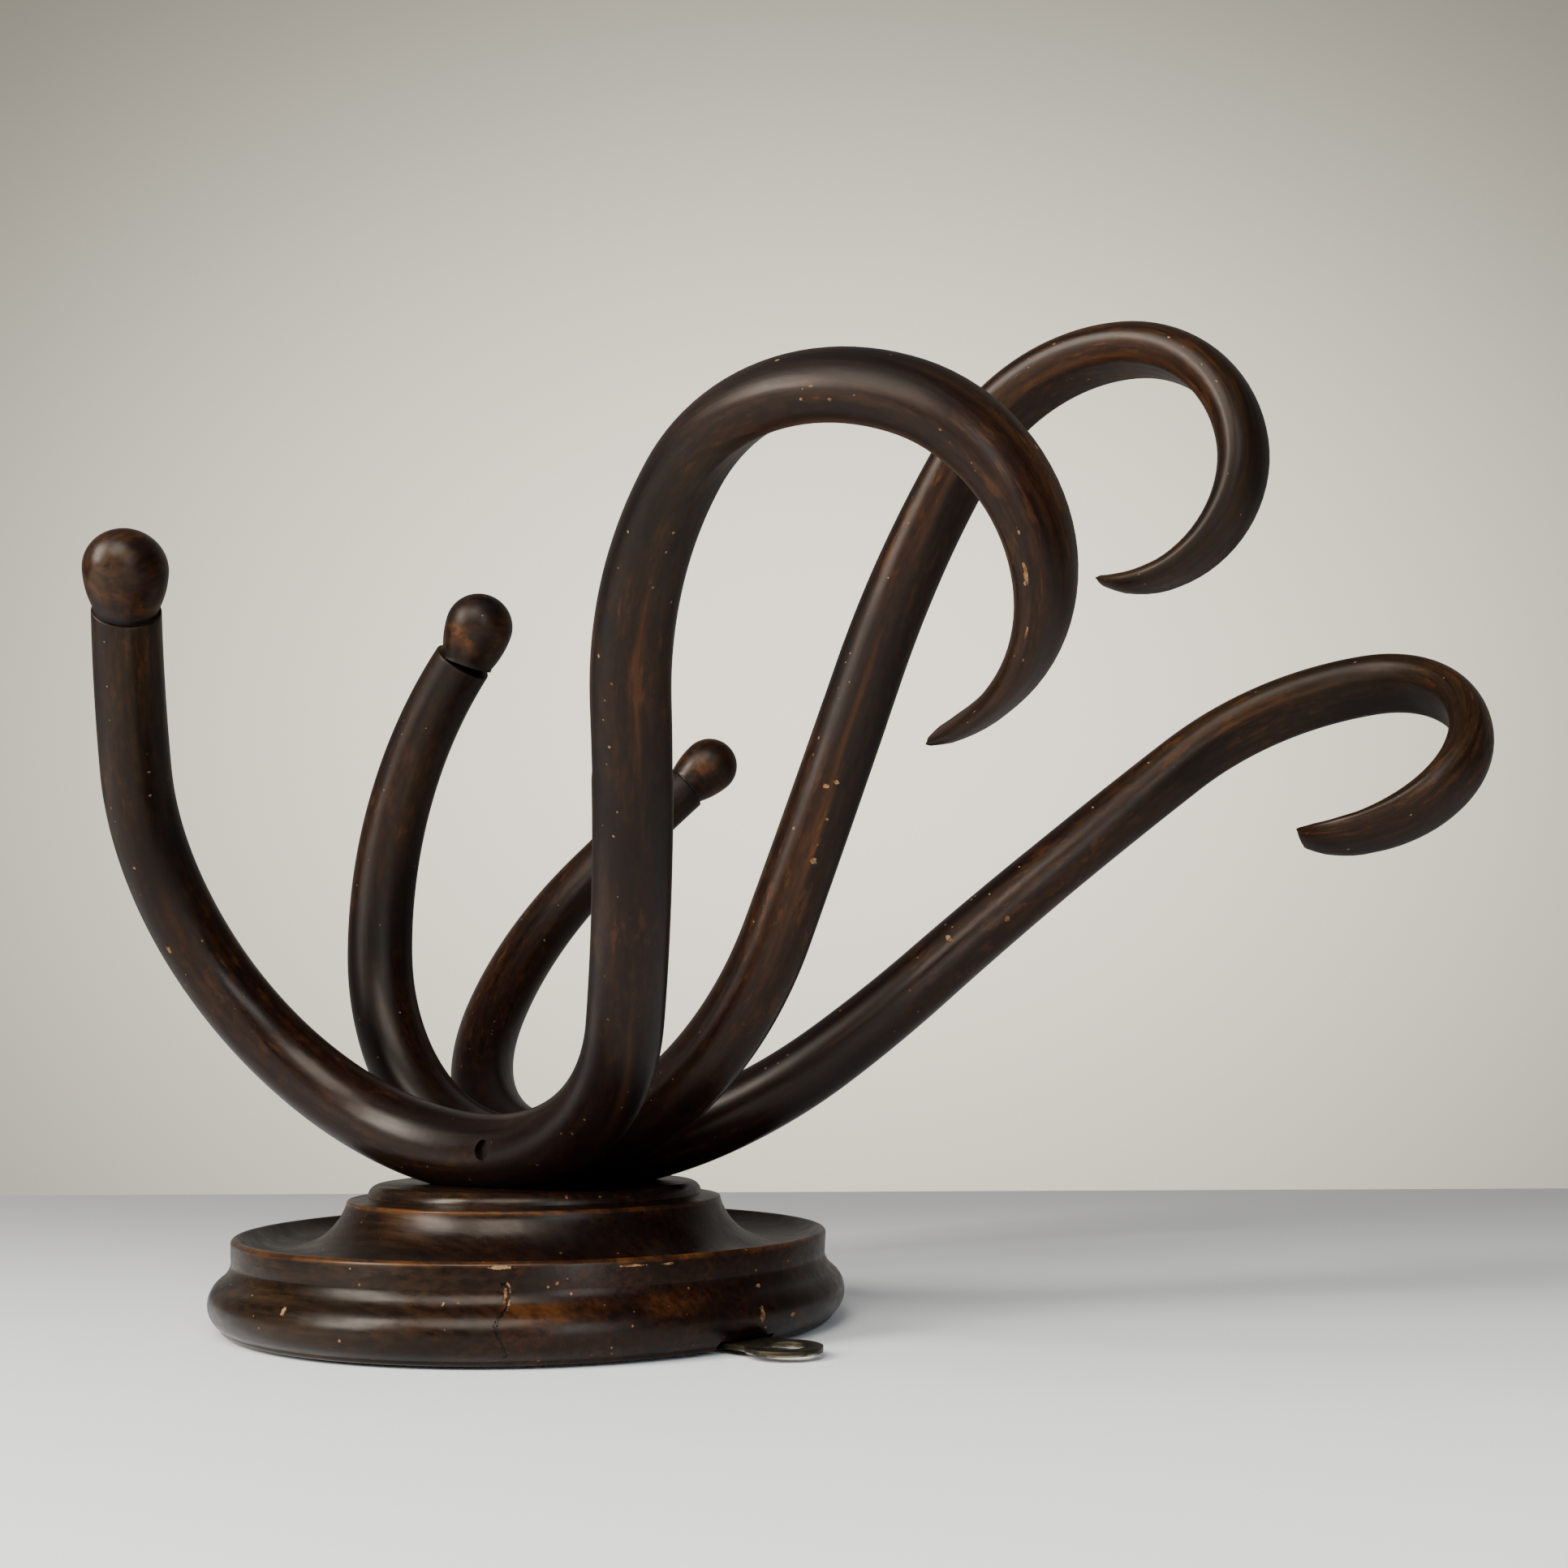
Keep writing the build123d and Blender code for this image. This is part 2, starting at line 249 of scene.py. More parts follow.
def speck_group():
    """Tiny knocks scattered over the polish: a mask of pale specks, some cells left empty."""
    tree, start, end = new_group(
        "knocked_specks",
        [
            ("Place", "NodeSocketVector"),
            ("Spacing", "NodeSocketFloat"),
            ("Share", "NodeSocketFloat"),
        ],
        [("Mask", "NodeSocketFloat")],
    )
    place = start.outputs["Place"]
    given = {"Vector": place, "Scale": 2200.0, "Detail": 2.0}
    ragged = node(tree, "ShaderNodeTexNoise", given).outputs["Color"]
    nudge = vector(tree, "SCALE", {0: ragged, "Scale": 0.0005})
    place = vector(tree, "ADD", {0: place, 1: nudge})
    density = maths(tree, "DIVIDE", 1.0, start.outputs["Spacing"])
    cells = node(tree, "ShaderNodeTexVoronoi", {"Vector": place, "Scale": density, "Randomness": 1.0})
    parts = node(tree, "ShaderNodeSeparateColor", {0: cells.outputs["Color"]})
    size = times(tree, parts.outputs[1], 0.09)
    spot = maths(tree, "LESS_THAN", cells.outputs["Distance"], plus(tree, size, 0.05))
    chosen = maths(tree, "LESS_THAN", parts.outputs[0], start.outputs["Share"])
    tree.links.new(times(tree, spot, chosen), end.inputs["Mask"])
    return tree


def scar_group():
    """One knock through the polish: a ragged patch about a centre, inside given half sizes."""
    tree, start, end = new_group(
        "ragged_scar",
        [
            ("Place", "NodeSocketVector"),
            ("Centre", "NodeSocketVector"),
            ("Half Size", "NodeSocketVector"),
        ],
        [("Mask", "NodeSocketFloat")],
    )
    place = start.outputs["Place"]
    off = vector(tree, "SUBTRACT", {0: place, 1: start.outputs["Centre"]})
    part = vector(tree, "DIVIDE", {0: off, 1: start.outputs["Half Size"]})
    far = vector(tree, "LENGTH", {0: part}, "Value")
    ragged = window(tree, noise(tree, place, 700.0, 4.0, 0.7), 0.2, 0.8, -0.55, 0.55)
    tree.links.new(window(tree, plus(tree, far, ragged), 1.08, 0.92), end.inputs["Mask"])
    return tree


BEECH_GRAIN = grain_group()
KNOCKED_SPECKS = speck_group()
RAGGED_SCAR = scar_group()

STAIN_DARK = (0.0022, 0.0010, 0.0010, 1)
STAIN_BROWN = (0.0100, 0.0033, 0.0017, 1)
STAIN_OLIVE = (0.0150, 0.0080, 0.0028, 1)
WORN_ORANGE = (0.072, 0.024, 0.0050, 1)
BARE_BEECH = (0.185, 0.112, 0.052, 1)
SHELLAC_IOR = 1.5
SHELLAC_SHINE = 0.16
SHELLAC_TINT = (1.0, 0.89, 0.77, 1)
SPECK_SPACING = 0.0033


def scars(tree, place, marks):
    """All the scars of a piece in one mask: (centre, half size) in millimetres."""
    mask = 0.0
    for centre, half in marks:
        given = {
            "Place": place,
            "Centre": [value * MM for value in centre],
            "Half Size": [value * MM for value in half],
        }
        scar = use_group(tree, RAGGED_SCAR, given)
        mask = maths(tree, "MAXIMUM", scar.outputs["Mask"], mask)
    return mask


def polished_beech(tree, place, grain_place, worn, bare, olive, specks, rough):
    """Stained and polished beech: colour, gloss and relief; specks is the share of cells knocked."""
    grain = use_group(tree, BEECH_GRAIN, {"Place": grain_place})
    streak = grain.outputs["Streak"]
    cloud = grain.outputs["Cloud"]
    sown = {"Place": place, "Spacing": SPECK_SPACING, "Share": specks}
    knocked = use_group(tree, KNOCKED_SPECKS, sown).outputs["Mask"]
    brown = tint(tree, olive, STAIN_BROWN, STAIN_OLIVE)
    stain = tint(tree, times(tree, cloud, plus(tree, streak, 0.25)), STAIN_DARK, brown)
    fine_place = scaled(tree, grain_place, (520, 520, 150))
    mottle = window(tree, noise(tree, fine_place, 1.0, 4.0, 0.7), 0.42, 0.68)
    stain = tint(tree, times(tree, times(tree, mottle, cloud), 0.20), stain, WORN_ORANGE)
    wear_and_gleam = times(tree, worn, plus(tree, times(tree, streak, 0.7), 0.3))
    colour = tint(tree, wear_and_gleam, stain, WORN_ORANGE)
    bared = maths(tree, "MAXIMUM", bare, times(tree, knocked, 0.8), clamp=True)
    pores = window(tree, noise(tree, grain_place, 600.0), 0.35, 0.65)
    wood = tint(tree, pores, BARE_BEECH, WORN_ORANGE)
    colour = tint(tree, bared, colour, wood)
    gloss = plus(tree, times(tree, streak, 0.10), window(tree, cloud, 0, 1, 0.1, 0.0))
    gloss = plus(tree, gloss, rough)
    gloss = plus(tree, gloss, times(tree, bared, 0.3))
    relief = times(tree, streak, 0.05)
    relief = plus(tree, relief, times(tree, noise(tree, place, 90.0, 2.0), 0.6))
    relief = minus(tree, relief, times(tree, bared, 1.6))
    shader = tree.nodes["Principled BSDF"]
    tree.links.new(colour, shader.inputs["Base Color"])
    tree.links.new(gloss, shader.inputs["Roughness"])
    tree.links.new(relief_normal(tree, 0.55, 0.0003, relief), shader.inputs["Normal"])
    shader.inputs["IOR"].default_value = SHELLAC_IOR
    shader.inputs["Specular IOR Level"].default_value = SHELLAC_SHINE
    shader.inputs["Specular Tint"].default_value = SHELLAC_TINT


def darken(tree, mask, colour):
    """Lay a dark colour over whatever already feeds the finish, through a mask."""
    base = tree.nodes["Principled BSDF"].inputs["Base Color"]
    tree.links.new(tint(tree, mask, base.links[0].from_socket, colour), base)


def new_material(name):
    """An empty material: the material and its node tree."""
    made = bpy.data.materials.new(name)
    made.use_nodes = True
    return made, made.node_tree


# Scars on the block: (distance round the side from the +X end, radius, height), half size.
SIDE_RADIUS = 92.0
ROUND = SIDE_RADIUS * radians(1)
SPLIT_AT = -49.7
HOLLOW_DARK = (0.0030, 0.0012, 0.0009, 1)
SPLIT_DARK = (0.002, 0.001, 0.001, 1)
BLOCK_SCARS = [
    ((-50.3 * ROUND, 90.3, 24.2), (3.0, 3.0, 0.45)),
    ((-49.2 * ROUND, 90.6, 17.2), (0.95, 3.0, 3.3)),
    ((-88.6 * ROUND, 94.6, 11.8), (0.7, 3.0, 1.1)),
    ((-2.9 * ROUND, 91.2, 15.4), (1.0, 3.0, 0.5)),
    ((-5.0 * ROUND, 95.6, 8.2), (0.8, 3.0, 2.2)),
    ((-3.8 * ROUND, 95.8, 5.0), (0.6, 3.0, 0.6)),
    ((3.0 * ROUND, 95.8, 7.0), (1.1, 3.0, 0.6)),
    ((-28.5 * ROUND, 90.3, 23.6), (3.6, 2.0, 0.3)),
    ((-22.0 * ROUND, 90.3, 23.5), (1.8, 2.0, 0.3)),
    ((-41.2 * ROUND, 90.1, 20.0), (0.45, 3.0, 0.45)),
    ((-59.5 * ROUND, 91.3, 15.3), (0.4, 3.0, 0.5)),
    ((-35.3 * ROUND, 50.6, 38.6), (0.7, 2.0, 0.45)),
]


def split_mask(tree, place, around, high):
    """The shake in the block's side: a thin wandering line that runs up through the bulge."""
    wave = maths(tree, "SINE", times(tree, minus(tree, high, 0.0067), 480.0))
    shake = window(tree, noise(tree, place, 420.0, 3.0, 0.7), 0.2, 0.8, -0.0008, 0.0008)
    line = plus(tree, plus(tree, times(tree, wave, -0.0012), shake), SPLIT_AT * ROUND * MM)
    away = maths(tree, "ABSOLUTE", minus(tree, around, line))
    top = window(tree, high, 0.0205, 0.0198)
    foot = window(tree, high, 0.0024, 0.0032)
    return times(tree, times(tree, window(tree, away, 0.0005, 0.0003), top), foot)


def block_material():
    """The block's finish: grain along X, wear on its sharp rims, a split and knocks at the side."""
    material, tree = new_material("stained_block")
    place = node(tree, "ShaderNodeTexCoord", {}).outputs["Object"]
    axes = node(tree, "ShaderNodeSeparateXYZ", {0: place}).outputs
    grain_place = gather(tree, axes[1], axes[2], axes[0])
    angle = maths(tree, "ARCTAN2", axes[1], axes[0])
    around = times(tree, angle, SIDE_RADIUS * MM)
    out = vector(tree, "LENGTH", {0: gather(tree, axes[0], axes[1], 0.0)}, "Value")
    high = axes[2]
    side_place = gather(tree, around, out, high)
    patchy = window(tree, noise(tree, place, 45.0, 4.0, 0.65), 0.36, 0.62)
    lip = times(tree, window(tree, high, 0.0238, 0.0248), window(tree, out, 0.0884, 0.0893))
    bead = times(tree, window(tree, high, 0.0339, 0.0346), window(tree, out, 0.0560, 0.0567))
    inner = window(tree, out, 0.060, 0.0585)
    edges = plus(tree, lip, times(tree, bead, inner), clamp=True)
    edges = times(tree, edges, window(tree, patchy, 0.1, 0.8, 0.2, 0.8))
    side = times(tree, window(tree, high, 0.0165, 0.0145), window(tree, high, 0.0095, 0.012))
    sunny = window(tree, angle, radians(-52), radians(-46))
    sunny = times(tree, sunny, window(tree, angle, radians(-14), radians(-28)))
    side = times(tree, times(tree, side, sunny), patchy)
    boss = times(tree, window(tree, out, 0.064, 0.061), window(tree, out, 0.0565, 0.058))
    boss = times(tree, boss, window(tree, angle, radians(-98), radians(-88)))
    boss = times(tree, boss, window(tree, angle, radians(-70), radians(-78)))
    worn = plus(tree, edges, times(tree, side, 0.6))
    worn = plus(tree, worn, times(tree, boss, times(tree, patchy, 0.6)))
    faint = window(tree, noise(tree, place, 26.0, 5.0, 0.7), 0.58, 0.75, 0.0, 0.28)
    worn = maths(tree, "MAXIMUM", worn, faint, clamp=True)
    split = split_mask(tree, place, around, high)
    bare = scars(tree, side_place, BLOCK_SCARS)
    olive = window(tree, angle, radians(-45), radians(-80))
    polished_beech(tree, place, grain_place, worn, bare, olive, 0.34, 0.22)
    hollow = times(tree, window(tree, out, 0.0574, 0.0590), window(tree, out, 0.0885, 0.0865))
    hollow = times(tree, hollow, window(tree, high, 0.0195, 0.0205, 0.0, 0.6))
    darken(tree, hollow, HOLLOW_DARK)
    darken(tree, split, SPLIT_DARK)
    normal = tree.nodes["Principled BSDF"].inputs["Normal"]
    deep = minus(tree, 0.0, split)
    tree.links.new(relief_normal(tree, 1.0, 0.0006, deep, Normal=normal.links[0].from_socket), normal)
    return material


bm = bmesh.new()
turn_outline(bm, BLOCK_START, BLOCK_OUTLINE, BLOCK_FACETS, BLOCK_ARC_STEPS)
block = new_piece("block", bm, block_material(), BLOCK_SHARP)

# The let-in for the hanging plate: shallow under the plate, deeper where the plate is cranked.
PLATE_TURN = Matrix.Rotation(radians(-7), 4, "Z")
PAST_RIM = 100.0
LET_INS = ((65.7, 1.5, 16.6), (87.5, 2.7, 20.6))    # (inner end, depth, width)
for inner, depth, width in LET_INS:
    cutter = bmesh.new()
    size = ((PAST_RIM - inner) * MM, width * MM, 2 * depth * MM)
    middle = ((PAST_RIM + inner) / 2 * MM, 0, 0)
    bmesh.ops.create_cube(cutter, size=1)
    bmesh.ops.scale(cutter, vec=size, verts=cutter.verts)
    bmesh.ops.translate(cutter, vec=middle, verts=cutter.verts)
    bmesh.ops.transform(cutter, matrix=PLATE_TURN, verts=cutter.verts)
    cut_away(block, cutter)

# The countersinks of the three back screws, as (radius, height) corners.
BACK_SCREWS = ((-12.0, -23.5), (-12.0, 0.0), (-12.0, 23.5))
SINK_START = (0, -1)
SINK_OUTLINE = [((5.0, -1),), ((5.0, 0.4),), ((2.5, 2.9),), ((2.5, 6),), ((0, 6),)]
for up, across in BACK_SCREWS:
    cutter = bmesh.new()
    turn_outline(cutter, SINK_START, SINK_OUTLINE, 40, 1)
    bmesh.ops.translate(cutter, vec=(up * MM, across * MM, 0), verts=cutter.verts)
    cut_away(block, cutter)
block.data.set_sharp_from_angle(angle=radians(BLOCK_SHARP))
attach(block, "root")
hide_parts("rose")

# ---- the three arms ---------------------------------------------------------------------------
# Beech rods steamed and bent, fullest where they stand on the block; past the crown each is
# shaved to a thin blade with a flat inner face and a scrolled tip. They are planed flat where
# they meet the block and each other, glued, and pulled together by a screw from either side.
ROD_DATUM = 44.4
GIRTH = [
    (-270, 18.4),
    (-205, 20.2),
    (-140, 21.8),
    (-80, 22.3),
    (0, 23.8),
    (70, 21.3),
    (140, 20.1),
    (200, 19.4),
]
BLADE = [
    # (back from the tip, thickness, width)
    (0, 2.8, 8.8),
    (5, 4.8, 12.2),
    (12, 6.4, 14.8),
    (24, 8.4, 17.4),
    (45, 10.8, 19.6),
    (65, 12.4, 20.4),
    (95, 13.8, 21.2),
    (130, 15.2, 21.6),
    (165, 16.4, 21.2),
    (195, 18.2, 20.2),
    (230, 19.4, 19.4),
]
# Each arm's bends, from its foot on the block: (radius, degrees), plus turning off the wall.
ARMS = {
    "right": {
        "side": -1,
        "lean": 33.5,
        "offset": 20.2,
        "foot": (3.0, 6.0),
        "pitch": 0.0,
        "hat": [(89, 60.0), (930, 6.0), (119, -29.5), (52, -67.0), (36, -114.0), (51, -25.5)],
        "coat": [(93, 50.0), (89, 72.5), (740, 5.5)],
        "blade": 1.02,
        "lot": 0.0,
    },
    "middle": {
        "side": 1,
        "lean": 0.0,
        "offset": 0.0,
        "foot": (-10.5, 3.5),
        "pitch": -1.5,
        "hat": [(113, 66.5), (4470, 1.0), (280, -13.0), (51, -64.0), (36, -72.5), (28, -117.5)],
        "coat": [(71, 85.0), (128, 48.5), (44, -19.5)],
        "blade": 0.98,
        "lot": 2000.0,
    },
    "left": {
        "side": 1,
        "lean": 38.0,
        "offset": 21.0,
        "foot": (-10.5, 3.5),
        "pitch": -0.5,
        "hat": [(119, 48.5), (300, 7.5), (1040, -6.0), (77, -47.5), (32, -100.0), (35, -95.5)],
        "coat": [(77, 76.5), (117, 36.0), (390, 10.0)],
        "blade": 0.98,
        "lot": 4000.0,
    },
}
ROD_FACETS = 56
ROD_STEP = 2.6
ROD_SHARP = 48.0
FIRST_RING = 0.01         # radius of the ring that is carried along the rod, in metres
EASED_OVER = (-12, -6, 0, 6, 12)
TIP_LENGTH = 16           # where the blade's rows are followed without easing
BLADE_LENGTH = 236
SHAVED_FROM = 226         # the flat inner face comes in over SHAVED_OVER
SHAVED_OVER = 90
SHAVED_DEPTH = 0.85
THINNED_FROM = 230        # each arm's own factor on the blade comes in over THINNED_OVER
THINNED_OVER = 120
FACE_LEVEL = 0.76         # the flat inner face, as a share of half the thickness
FACE_CROWN = 0.1
FLAT_FROM_MIDDLE = 11.6
SEAT_HEIGHT = 39.8
BALL_NECK = 13.6          # from the ball's centre to the rod's end
SHOULDER = 0.58           # how far the rod's end is eased
TIP_ROUND = ((0.2, 0.4), (0.3, 0.3), (0.3, 0.1))
END_ROUND = ((0.05, 0.3), (0.15, 0.2), (0.2, 0.08))


def between_rows(rows, at):
    """Straight-line values between (place, value, ...) rows."""
    if at <= rows[0][0]:
        return rows[0][1:]
    for low, high in zip(rows, rows[1:]):
        if at <= high[0]:
            part = (at - low[0]) / (high[0] - low[0])
            return tuple(a + (b - a) * part for a, b in zip(low[1:], high[1:]))
    return rows[-1][1:]


def eased_rows(rows, at):
    """The same, with the corners between rows eased over a short length."""
    spread = [between_rows(rows, at + shift) for shift in EASED_OVER]
    return tuple(sum(values) / len(values) for values in zip(*spread))


def rod_section(arm, run, to_tip):
    """Half width, half thickness and how flat the inner face is shaved, at a place on a rod."""
    (girth,) = eased_rows(GIRTH, run)
    if to_tip > BLADE_LENGTH:
        return girth / 2, girth / 2, 0.0
    rows = between_rows if to_tip < TIP_LENGTH else eased_rows
    thickness, width = rows(BLADE, to_tip)
    thinned = thickness * arm["blade"] ** min(1.0, (THINNED_FROM - to_tip) / THINNED_OVER)
    shaved = min(1.0, max(0.0, (SHAVED_FROM - to_tip) / SHAVED_OVER))
    flat = shaved * shaved * (3 - 2 * shaved) * SHAVED_DEPTH
    return max(width, thinned) / 2, min(width, thinned) / 2, flat


def shape_ring(ring, layer, arm, run, to_tip, u, v, heading):
    """Give one ring of the rod its section, flat on the inner side where the blade is shaved."""
    half_width, half_thickness, flat = rod_section(arm, run, to_tip)
    normal = Vector((-sin(heading), 0, cos(heading)))
    centre = Vector((u, 0, v)) * MM
    for vert in ring:
        across, out = vert[layer].x / FIRST_RING, vert[layer].y / FIRST_RING
        if out < -FACE_LEVEL:
            out += (-FACE_LEVEL - out) * flat
        out += FACE_CROWN * flat - FACE_CROWN * flat * abs(out)
        aside = Vector((0, across * half_width * MM, 0))
        vert.co = centre + aside + normal * out * half_thickness * MM
        vert[layer].z = (run + arm["lot"]) * MM


def length_of(bends):
    """The length of a chain of bends."""
    return sum(radius * radians(abs(turn)) for radius, turn in bends)


def bend_rod(bm, ring, edges, layer, arm, bends, way, stop):
    """Carry a ring along a chain of bends, a short step at a time; way -1 goes to the ball."""
    u, v = arm["foot"]
    heading = radians(arm["pitch"])
    run = 0.0
    whole = length_of(arm["hat"])
    for radius, turn in bends:
        left = min(radius * radians(abs(turn)), stop - run)
        if left <= 0:
            break
        count = ceil(left / ROD_STEP)
        step = copysign(left / radius / count, turn) * way
        for _ in range(count):
            off = copysign(radius, turn)
            centre = Vector((u - off * sin(heading), 0, v + off * cos(heading))) * MM
            made = bmesh.ops.spin(
                bm, geom=ring + edges, cent=centre, axis=(0, -1, 0), angle=step, steps=1
            )["geom_last"]
            ring = [part for part in made if isinstance(part, bmesh.types.BMVert)]
            edges = [part for part in made if isinstance(part, bmesh.types.BMEdge)]
            chord = 2 * radius * sin(abs(step) / 2) * way
            u += chord * cos(heading + step / 2)
            v += chord * sin(heading + step / 2)
            heading += step
            run += left / count
            shape_ring(ring, layer, arm, run * way, whole - run * way, u, v, heading)
    return edges


def lean_out(arm):
    """Where the flat plane of an arm's bends stands on the block."""
    stand = Matrix.Translation((0, arm["side"] * arm["offset"] * MM, ROD_DATUM * MM))
    return stand @ Matrix.Rotation(-arm["side"] * radians(arm["lean"]), 4, "X")


def round_over(bm, edges, rounds):
    """Close the end of a rod and round it over: (inwards, outwards) for each inset."""
    cap = bmesh.ops.contextual_create(bm, geom=edges)["faces"]
    bmesh.ops.recalc_face_normals(bm, faces=bm.faces)
    for inwards, outwards in rounds:
        bmesh.ops.inset_region(bm, faces=cap, thickness=inwards * MM, depth=outwards * MM)


def plane_flat(bm, where, off):
    """Plane away everything past a flat face; off points to the side that goes."""
    made = bmesh.ops.bisect_plane(
        bm,
        geom=bm.verts[:] + bm.edges[:] + bm.faces[:],
        plane_co=where,
        plane_no=off,
        clear_outer=True,
    )
    rim = [part for part in made["geom_cut"] if isinstance(part, bmesh.types.BMEdge)]
    bmesh.ops.edgeloop_fill(bm, edges=rim)


def bend_arm(name, material):
    """One whole arm, from the rod's end under the ball to the tip of the scroll."""
    arm = ARMS[name]
    bm = bmesh.new()
    layer = bm.verts.layers.float_vector.new("rod_place")
    ring = bmesh.ops.create_circle(
        bm, cap_ends=False, segments=ROD_FACETS, radius=FIRST_RING
    )["verts"]
    edges = bm.edges[:]
    for vert in ring:
        vert[layer] = vert.co
    hat = length_of(arm["hat"])
    coat = length_of(arm["coat"]) - BALL_NECK - SHOULDER
    shape_ring(ring, layer, arm, 0.0, hat, *arm["foot"], radians(arm["pitch"]))
    tip = bend_rod(bm, ring, edges, layer, arm, arm["hat"], 1, hat)
    end = bend_rod(bm, ring, edges, layer, arm, arm["coat"], -1, coat)
    round_over(bm, tip, TIP_ROUND)
    round_over(bm, end, END_ROUND)
    bmesh.ops.transform(bm, matrix=lean_out(arm), verts=bm.verts)
    plane_flat(bm, (0, 0, SEAT_HEIGHT * MM), (0, 0, -1))
    for side in (-1, 1):
        if name == "middle":
            plane_flat(bm, (0, side * FLAT_FROM_MIDDLE * MM, 0), (0, side, 0))
        elif side == arm["side"]:
            plane_flat(bm, (0, side * FLAT_FROM_MIDDLE * MM, 0), (0, -side, 0))
    return new_piece("arm_" + name, bm, material, ROD_SHARP)


ROD_SCARS = [
    # (across, out, run from the foot; 2000 and 4000 on for the middle and left arms), half size
    ((-9.6, 0.0, 367), (0.5, 0.6, 1.5)),
    ((-9.8, 0.2, 355), (0.5, 0.7, 2.2)),
    ((-9.4, 1.6, 347), (0.5, 0.6, 1.0)),
    ((-8.6, -3.6, 391), (0.6, 0.8, 1.0)),
    ((-9.6, 1.8, -135), (0.6, 0.8, 1.4)),
    ((-6.0, -7.0, 2155), (0.8, 3.0, 0.8)),
    ((-8.5, -4.4, 2176), (0.6, 3.0, 0.6)),
    ((-7.0, -7.4, 2178), (0.6, 3.0, 0.6)),
    ((-4.0, -9.0, 4170), (0.8, 3.0, 1.0)),
    ((-9.0, -4.0, 4152), (0.7, 3.0, 0.8)),
]
ROD_KNOTS = [((-9.5, 1.5, 214), (3, 3, 5))]
KNOT_DARK = (0.003, 0.002, 0.002, 1)
FOOT_PAINTED_SHADE = (0.0030, 0.0010, 0.0009, 1)


def rod_material():
    """The rods' finish: grain that follows the bends, brown where hands and hats have rubbed."""
    material, tree = new_material("stained_rod")
    place = node(tree, "ShaderNodeAttribute", {}, attribute_name="rod_place").outputs["Vector"]
    axes = node(tree, "ShaderNodeSeparateXYZ", {0: place}).outputs
    flakes = noise(tree, scaled(tree, place, (330, 330, 95)), 1.0, 4.0, 0.65)
    where = noise(tree, scaled(tree, place, (50, 50, 17)), 1.0, 2.0)
    patches = times(tree, window(tree, flakes, 0.56, 0.63), window(tree, where, 0.48, 0.62))
    long_rub = noise(tree, scaled(tree, place, (130, 130, 9)), 1.0, 3.0, 0.6)
    long_rub = window(tree, long_rub, 0.46, 0.66)
    inward = axes[1]
    arris = times(tree, window(tree, inward, -0.0045, -0.0062), window(tree, inward, -0.0082, -0.0068))
    worn = plus(tree, times(tree, patches, 0.45), times(tree, long_rub, 0.04))
    worn = plus(tree, worn, times(tree, arris, times(tree, long_rub, 0.5)), clamp=True)
    knot = scars(tree, place, ROD_KNOTS)
    stand = node(tree, "ShaderNodeTexCoord", {}).outputs["Object"]
    height = node(tree, "ShaderNodeSeparateXYZ", {0: stand}).outputs[2]
    olive = window(tree, noise(tree, scaled(tree, place, (40, 40, 9)), 1.0, 2.0), 0.4, 0.65)
    olive = times(tree, olive, window(tree, height, 0.11, 0.19, 0.1, 1.0))
    rough = window(tree, height, 0.09, 0.17, 0.24, 0.32)
    polished_beech(tree, place, place, worn, scars(tree, place, ROD_SCARS), olive, 0.16, rough)
    # Painted shade: the rods darken towards the block, low down where less light reaches them.
    darken(tree, window(tree, height, 0.05, 0.14, 0.6, 0.0), FOOT_PAINTED_SHADE)
    darken(tree, times(tree, knot, 0.85), KNOT_DARK)
    return material


# The hole for a side screw's head, bored in from the outer arm's side.
SIDE_HOLE_UP = 12.5
SIDE_HOLE_HEIGHT = 51.2
SIDE_HOLE_BOTTOM = 33.2   # from the block's middle
SIDE_HOLE_LENGTH = 22
SIDE_HOLE_RADII = (2.9, 3.5)


def bore_side_hole(piece, side):
    """Sink the hole for the side screw's head, a little wider at its mouth."""
    cutter = bmesh.new()
    bottom, mouth = SIDE_HOLE_RADII
    bmesh.ops.create_cone(
        cutter,
        cap_ends=True,
        segments=40,
        radius1=bottom * MM,
        radius2=mouth * MM,
        depth=SIDE_HOLE_LENGTH * MM,
    )
    sideways = Matrix.Rotation(-side * pi / 2, 3, "X")
    bmesh.ops.rotate(cutter, cent=(0, 0, 0), matrix=sideways, verts=cutter.verts)
    across = side * (SIDE_HOLE_BOTTOM + SIDE_HOLE_LENGTH / 2)
    place = (SIDE_HOLE_UP * MM, across * MM, SIDE_HOLE_HEIGHT * MM)
    bmesh.ops.translate(cutter, vec=place, verts=cutter.verts)
    cut_away(piece, cutter)
    piece.data.set_sharp_from_angle(angle=radians(ROD_SHARP))


STAINED_ROD = rod_material()
for name, arm in ARMS.items():
    piece = bend_arm(name, STAINED_ROD)
    if name != "middle":
        bore_side_hole(piece, arm["side"])
    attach(piece, "root")
    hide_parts("arm_" + name)

# ---- the balls --------------------------------------------------------------------------------
# A small turned ball on each coat hook, pegged and glued into the rod's end. It is full and
# round above and draws in to a neck below, and its polish is worn brown round the lower half.
BALL_START = (0.0, -11.4)
BALL_OUTLINE = [
    ((8.061, -8.061), (11.4, 0.0)),
    ((10.75, 6.0), (8.8, 12.4)),
    ((8.72, 13.3),),
    ((8.72, 13.75),),
    ((0.0, 13.75),),
]
BALL_FACETS = 72
BALL_ARC_STEPS = 18
BALL_DARK = (0.004, 0.003, 0.003, 1)


